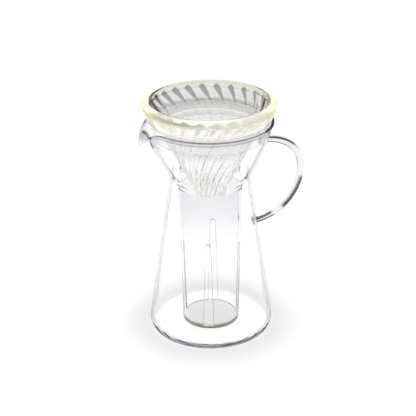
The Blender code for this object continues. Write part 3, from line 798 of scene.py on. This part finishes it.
# %% [markdown]
# ## The collar
#
# The skirt under the rim seats the dripper in the funnel, and is warmer in colour than the
# cone. It is a plain turned ring, so a rounded profile on the lathe is enough. Its foot sits
# where the funnel is as wide as it is, and that height is found by halving.

# %% Collar
def funnel_inside(height):
    small = 0.0002
    slope = (server_radius(height + small) - server_radius(height - small)) / (2.0 * small)
    return server_radius(height) - SERVER_WALL * math.hypot(1.0, slope)


def funnel_height(radius):
    """The height at which the inside of the funnel has this radius."""
    low, high = WAIST_HEIGHT, RIM_HEIGHT
    for _ in range(40):
        middle = 0.5 * (low + high)
        if funnel_inside(middle) < radius:
            low = middle
        else:
            high = middle
    return high


COLLAR_TOP_RADIUS = 0.0654
COLLAR_MIDDLE_RADIUS = 0.0590
COLLAR_MIDDLE = 0.2225
COLLAR_FOOT_RADIUS = 0.0567
COLLAR_WALL = 0.0020
GRIP_WALL = 0.0015
collar_top = RIM_UNDERSIDE - SEAT_GAP
collar_foot = funnel_height(COLLAR_FOOT_RADIUS + SEAT_GAP) + SEAT_LIFT
taper = (COLLAR_TOP_RADIUS - COLLAR_MIDDLE_RADIUS) / (collar_top - COLLAR_MIDDLE)
skirt_at_web = COLLAR_MIDDLE_RADIUS + (GRIP_TOP - COLLAR_MIDDLE) * taper - COLLAR_WALL
web_under = GRIP_TOP - COLLAR_WALL
collar_outline = [
    (COLLAR_TOP_RADIUS - COLLAR_WALL, collar_top),
    (COLLAR_TOP_RADIUS, collar_top),
    (COLLAR_MIDDLE_RADIUS, COLLAR_MIDDLE),
    (COLLAR_FOOT_RADIUS, collar_foot),
    (COLLAR_FOOT_RADIUS - COLLAR_WALL, collar_foot),
    (COLLAR_MIDDLE_RADIUS - COLLAR_WALL, COLLAR_MIDDLE),
    (skirt_at_web - COLLAR_WALL * taper, web_under),
    (cone_outside(web_under) + SEAT_GAP + GRIP_WALL, web_under),
    (cone_outside(GRIP_BOTTOM) + SEAT_GAP + GRIP_WALL, GRIP_BOTTOM),
    (cone_outside(GRIP_BOTTOM) + SEAT_GAP, GRIP_BOTTOM),
    (cone_outside(GRIP_TOP) + SEAT_GAP, GRIP_TOP),
    (skirt_at_web, GRIP_TOP),
]
collar_rows = lathe(rounded(collar_outline, 0.0006), 220)
collar_mesh = mesh_from_rows("dripper_collar_fine", collar_rows, closed=True)
collar = place_piece("dripper_collar_fine", collar_mesh, collar_clear, "dripper_collar", "dripper")
print("collar foot (mm): %.1f" % (1000 * collar_foot))

# %% [markdown]
# ## The ice strainer
#
# A tall clear tube with open slots from its foot. The four slots repeat around the axis, so
# one wedge-shaped cutter is instanced by Geometry Nodes and taken away with a Boolean. Two of
# them are taller than the other two, which an index test on the instances gives.

# %% Tube and slot cutter
SLOT_COUNT = 4
SLOT_TOP = 0.1035
SLOT_HALF_TOP = 0.0025
SLOT_HALF_FOOT = 0.0052
SLOT_OVERRUN = 0.0040
LOW_SLOT_SHARE = 0.90
SLOT_EDGE = 0.0005


def tube_radius(height):
    rise = height - TUBE_FOOT
    return TUBE_FOOT_RADIUS + (TUBE_TOP_RADIUS - TUBE_FOOT_RADIUS) * rise / (TUBE_TOP - TUBE_FOOT)


def slot_wedge():
    """The cutter: wide and open at the foot, round at the top, reaching through the wall along X."""
    below = TUBE_FOOT - SLOT_OVERRUN
    outline = [(-SLOT_HALF_FOOT, below), (SLOT_HALF_FOOT, below)]
    for step in range(13):
        turn = math.pi * step / 12
        outline.append((SLOT_HALF_TOP * math.cos(turn),
                        SLOT_TOP - SLOT_HALF_TOP + SLOT_HALF_TOP * math.sin(turn)))
    model = bmesh.new()
    near = [model.verts.new((0.5 * TUBE_FOOT_RADIUS, side, height)) for side, height in outline]
    far = [model.verts.new((1.5 * TUBE_TOP_RADIUS, side, height)) for side, height in outline]
    model.faces.new(near)
    model.faces.new(list(reversed(far)))
    for index in range(len(outline)):
        nxt = (index + 1) % len(outline)
        model.faces.new((near[index], far[index], far[nxt], near[nxt]))
    bmesh.ops.recalc_face_normals(model, faces=model.faces)
    mesh = bpy.data.meshes.new("slot_wedge")
    model.to_mesh(mesh)
    model.free()
    wedge = bpy.data.objects.new("slot_wedge", mesh)
    bpy.context.collection.objects.link(wedge)
    return wedge


tube_heights = [TUBE_FOOT + (TUBE_TOP - TUBE_FOOT) * step / 24 for step in range(25)]
tube_outline = [(tube_radius(height), height) for height in tube_heights]
tube_outline += [(tube_radius(height) - TUBE_WALL, height) for height in reversed(tube_heights)]
tube_rows = lathe(rounded(tube_outline, 0.0004, 3), 160)
plain_tube = mesh_from_rows("strainer_tube_plain", tube_rows, closed=True)
print("points on the plain tube:", len(plain_tube.vertices))

# %% Slots
slot_tree, slot_in, slot_out = new_tree("strainer slots")
tree_input(slot_tree, "Slots", "NodeSocketInt", SLOT_COUNT)
tree_input(slot_tree, "First Turn", "NodeSocketFloat", STRAINER_TURN)
tree_input(slot_tree, "Low Slot Share", "NodeSocketFloat", LOW_SLOT_SHARE)
tree_input(slot_tree, "Cutter", "NodeSocketObject", None)
tree_input(slot_tree, "Material", "NodeSocketMaterial", None)
points = slot_tree.nodes.new("GeometryNodePoints")
slot_tree.links.new(slot_in.outputs["Slots"], points.inputs["Count"])
index_node = slot_tree.nodes.new("GeometryNodeInputIndex")
step_turn = tree_math(slot_tree, "DIVIDE", math.tau, slot_in.outputs["Slots"])
angle_value = tree_math(slot_tree, "ADD", tree_math(slot_tree, "MULTIPLY", index_node.outputs[0], step_turn),
                        slot_in.outputs["First Turn"])
rotation = slot_tree.nodes.new("ShaderNodeCombineXYZ")
slot_tree.links.new(angle_value, rotation.inputs["Z"])
odd = tree_math(slot_tree, "MODULO", index_node.outputs[0], 2.0)
shorter = tree_math(slot_tree, "SUBTRACT", 1.0, slot_in.outputs["Low Slot Share"])
lower_by = tree_math(slot_tree, "SUBTRACT", 1.0, tree_math(slot_tree, "MULTIPLY", odd, shorter))
size = slot_tree.nodes.new("ShaderNodeCombineXYZ")
size.inputs["X"].default_value = 1.0
size.inputs["Y"].default_value = 1.0
slot_tree.links.new(lower_by, size.inputs["Z"])
cutter_info = slot_tree.nodes.new("GeometryNodeObjectInfo")
slot_tree.links.new(slot_in.outputs["Cutter"], cutter_info.inputs["Object"])
copies = slot_tree.nodes.new("GeometryNodeInstanceOnPoints")
slot_tree.links.new(points.outputs[0], copies.inputs["Points"])
slot_tree.links.new(cutter_info.outputs["Geometry"], copies.inputs["Instance"])
slot_tree.links.new(rotation.outputs[0], copies.inputs["Rotation"])
slot_tree.links.new(size.outputs[0], copies.inputs["Scale"])
real_copies = slot_tree.nodes.new("GeometryNodeRealizeInstances")
slot_tree.links.new(copies.outputs[0], real_copies.inputs[0])
cut = slot_tree.nodes.new("GeometryNodeMeshBoolean")
cut.operation = "DIFFERENCE"
cut.solver = "EXACT"
slot_tree.links.new(slot_in.outputs["Geometry"], cut.inputs["Mesh 1"])
slot_tree.links.new(real_copies.outputs[0], cut.inputs["Mesh 2"])
end_tree(slot_tree, cut.outputs["Mesh"], slot_in, slot_out)
wedge = slot_wedge()
slotted = grown("strainer_tube_fine", plain_tube, slot_tree,
                {"Slots": SLOT_COUNT, "First Turn": STRAINER_TURN, "Low Slot Share": LOW_SLOT_SHARE,
                 "Cutter": wedge, "Material": strainer_clear})
bpy.data.objects.remove(wedge)
print("slots:", SLOT_COUNT)


# %% [markdown]
# The cut leaves sharp edges, which moulded plastic never has. A narrow bevel eases them. The cut sides and
# the bevels also carry painted shade, because the slots of the real one are seen only as thin dark lines.

# %% Slot edges
def is_cut(face):
    """True for the cut sides of the slots, and False for the turned wall and its ends."""
    middle = face.calc_center_median()
    outward = Vector((middle[0], middle[1], 0.0)).normalized()
    return abs(face.normal.dot(outward)) < 0.6 and middle[2] < 0.110 and abs(face.normal[2]) < 0.98


def ease_slot_edges(mesh, width):
    """Bevel the edges of the slots, and paint shade on the cut sides and the bevels, with fainter painted
    shade growing towards the top of the tube.
    """
    model = bmesh.new()
    model.from_mesh(mesh)
    model.normal_update()
    edges = [edge for edge in model.edges if len(edge.link_faces) == 2
             and is_cut(edge.link_faces[0]) != is_cut(edge.link_faces[1])]
    made = bmesh.ops.bevel(model, geom=edges, offset=width, segments=1, affect="EDGES", clamp_overlap=False)
    dark = set(made["faces"])
    model.normal_update()
    values = []
    for face in model.faces:
        height = face.calc_center_median()[2]
        values.append(0.55 if face in dark or is_cut(face) else 0.12 * smooth_step((height - 0.060) / 0.080))
    model.to_mesh(mesh)
    model.free()
    add_painted_shade(mesh, values, "FACE")
    print("slot edges eased:", len(edges), "faces darkened:", len(dark))


ease_slot_edges(slotted, SLOT_EDGE)
tube = place_piece("strainer_tube_fine", slotted, strainer_clear, "strainer_tube", "strainer", sharp=40.0)

# %% [markdown]
# ## Seat and floor of the strainer
#
# The seat is a dished ring that hangs the tube in the waist of the server, with a short neck
# above it. The floor is a plain disc. Both are turned. Nothing of the floor's own pattern is
# modelled.

# %% Strainer seat and floor
SEAT_RADIUS = 0.0393
SEAT_THICKNESS = 0.0016
NECK_TOP = 0.1760
NECK_BORE = 0.0291
NECK_WALL = 0.0015
seat_low = TUBE_TOP + SEAT_GAP
seat_edge = funnel_height(SEAT_RADIUS + SEAT_GAP) + SEAT_LIFT
seat_outline = [
    (NECK_BORE, NECK_TOP),
    (NECK_BORE, seat_low + 0.0030),
    (tube_radius(TUBE_TOP) - TUBE_WALL, seat_low),
    (tube_radius(TUBE_TOP), seat_low),
    (SEAT_RADIUS, seat_edge),
    (SEAT_RADIUS, seat_edge + SEAT_THICKNESS),
    (SEAT_RADIUS - 0.0012, seat_edge + SEAT_THICKNESS + 0.0004),
    (NECK_BORE + NECK_WALL, seat_low + SEAT_THICKNESS + 0.0024),
    (NECK_BORE + NECK_WALL, NECK_TOP),
]
seat_mesh = mesh_from_rows("strainer_seat_fine", lathe(rounded(seat_outline, 0.0006), 180), closed=True)
seat = place_piece("strainer_seat_fine", seat_mesh, seat_clear, "strainer_seat", "strainer")

floor_outline = [(0.0, STRAINER_FOOT), (TUBE_FOOT_RADIUS - 0.0012, STRAINER_FOOT),
                 (TUBE_FOOT_RADIUS - 0.0006, STRAINER_FOOT + 0.0002),
                 (TUBE_FOOT_RADIUS - 0.0001, STRAINER_FOOT + 0.0007),
                 (TUBE_FOOT_RADIUS, STRAINER_FOOT + 0.0012), (TUBE_FOOT_RADIUS, STRAINER_FLOOR_TOP - 0.0004),
                 (TUBE_FOOT_RADIUS - 0.0004, STRAINER_FLOOR_TOP), (0.0, STRAINER_FLOOR_TOP)]
plate_mesh = mesh_from_rows("strainer_floor_fine", lathe(floor_outline, 160), closed=False)
# Painted shade: strong on the rounded rim of the floor, faint on its top and underside.
add_painted_shade(plate_mesh, [0.8 if abs(face.normal[2]) < 0.7 else 0.12 for face in plate_mesh.polygons], "FACE")
plate = place_piece("strainer_floor_fine", plate_mesh, floor_clear, "strainer_floor", "strainer")

# %% [markdown]
# ## Table, light and camera
#
# Clear things are lit by their surroundings. The table is white and gives off light, the same all round the
# axis. It is brightest under the set, so that the base does not go dark, and weakest in a ring just outside
# the base. That ring draws most of the soft shade there: it is painted shadow, given in the table's glow,
# and is not a shadow that the lights cast.

# %% Table
TABLE_HALF = 6.0
TABLE_TOP = -0.0002
table_material = bpy.data.materials.new("white_table")
table_material.use_nodes = True
table_shader = table_material.node_tree.nodes["Principled BSDF"]
table_shader.inputs["Base Color"].default_value = (0.30, 0.30, 0.30, 1.0)
table_shader.inputs["Roughness"].default_value = 1.0
table_shader.inputs["Specular IOR Level"].default_value = 0.0
table_nodes = table_material.node_tree.nodes
table_links = table_material.node_tree.links
table_place = table_nodes.new("ShaderNodeTexCoord")
from_axis = table_nodes.new("ShaderNodeVectorMath")
from_axis.operation = "LENGTH"
glow = table_nodes.new("ShaderNodeValToRGB")
glow.color_ramp.interpolation = "EASE"
glow.color_ramp.elements[0].position = 0.0
glow.color_ramp.elements[0].color = (0.84, 0.84, 0.86, 1.0)
glow.color_ramp.elements[1].position = 0.130
glow.color_ramp.elements[1].color = (0.70, 0.70, 0.70, 1.0)
# Painted light and painted shadow: the glow is strong under the base and dips in a ring just outside it.
for where, level in ((0.056, 0.84), (0.068, 0.45)):
    stop = glow.color_ramp.elements.new(where)
    stop.color = (level, level, level * 1.01, 1.0)
table_links.new(table_place.outputs["Object"], from_axis.inputs[0])
table_links.new(from_axis.outputs["Value"], glow.inputs["Fac"])
table_links.new(glow.outputs["Color"], table_shader.inputs["Emission Color"])
table_shader.inputs["Emission Strength"].default_value = 1.0
table_mesh = bpy.data.meshes.new("white_table")
corners = [(side * TABLE_HALF, end * TABLE_HALF, TABLE_TOP)
           for side, end in ((-1, -1), (1, -1), (1, 1), (-1, 1))]
table_mesh.from_pydata(corners, [], [(0, 1, 2, 3)])
table_mesh.materials.append(table_material)
table = bpy.data.objects.new("white_table", table_mesh)
bpy.context.collection.objects.link(table)

# %% [markdown]
# The room is a pattern of bands by height: bright overhead like one broad soft light, dark
# below that so that curved edges pick up dark lines, and pale underneath.

# %% Room light
room = bpy.data.worlds.new("studio")
bpy.context.scene.world = room
room.use_nodes = True
room_nodes = room.node_tree.nodes
room_links = room.node_tree.links
sky = room_nodes["Background"]
direction = room_nodes.new("ShaderNodeTexCoord")
up_part = room_nodes.new("ShaderNodeSeparateXYZ")
ramp = room_nodes.new("ShaderNodeValToRGB")
room_links.new(direction.outputs["Generated"], up_part.inputs[0])
room_links.new(up_part.outputs["Z"], ramp.inputs["Fac"])
room_links.new(ramp.outputs["Color"], sky.inputs["Color"])
bands = ramp.color_ramp
bands.interpolation = "EASE"
bands.elements[0].position = 0.22
bands.elements[0].color = (0.23, 0.23, 0.235, 1.0)
bands.elements[1].position = 0.30
bands.elements[1].color = (0.02, 0.02, 0.022, 1.0)
for where, level in ((0.74, 0.02), (0.84, 1.0)):
    band = bands.elements.new(where)
    band.color = (level, level, level, 1.0)
sky.inputs["Strength"].default_value = 4.4

# %% [markdown]
# The camera stands about a metre from the axis and looks down on the set. It is placed by a distance and a
# turn about the axis, then aimed by small angles of its own.

# %% Camera
camera_data = bpy.data.cameras.new("camera")
camera_data.lens = 95.79
camera_data.sensor_width = 36.0
camera_data.sensor_fit = "HORIZONTAL"
camera_data.clip_end = 50.0
camera = bpy.data.objects.new("camera", camera_data)
bpy.context.collection.objects.link(camera)
CAMERA_DISTANCE = 1.0229
CAMERA_HEIGHT = 0.6101
CAMERA_TURN = math.radians(-20.0)
CAMERA_PITCH = math.radians(25.13)
CAMERA_YAW = math.radians(-0.13)
CAMERA_ROLL = math.radians(-0.46)
camera.location = (CAMERA_DISTANCE * math.sin(CAMERA_TURN),
                   -CAMERA_DISTANCE * math.cos(CAMERA_TURN), CAMERA_HEIGHT)
heading = CAMERA_YAW - CAMERA_TURN
looking = Vector((math.sin(heading) * math.cos(CAMERA_PITCH), math.cos(heading) * math.cos(CAMERA_PITCH),
                  -math.sin(CAMERA_PITCH)))
turn_to = looking.to_track_quat("-Z", "Y").to_matrix().to_4x4()
camera.matrix_world = Matrix.Translation(camera.location) @ turn_to @ Matrix.Rotation(CAMERA_ROLL, 4, "Z")
bpy.context.scene.camera = camera

# %% [markdown]
# Light passes many walls on its way through nested clear pieces, and each one uses up a
# bounce, so transmission is allowed more of them than usual.

# %% Light paths
scene = bpy.context.scene
scene.view_settings.view_transform = "Standard"
scene.cycles.max_bounces = 40
scene.cycles.transmission_bounces = 36
scene.cycles.glossy_bounces = 12
scene.cycles.diffuse_bounces = 3
scene.cycles.transparent_max_bounces = 16
scene.cycles.sample_clamp_indirect = 6.0
scene.cycles.blur_glossy = 0.5
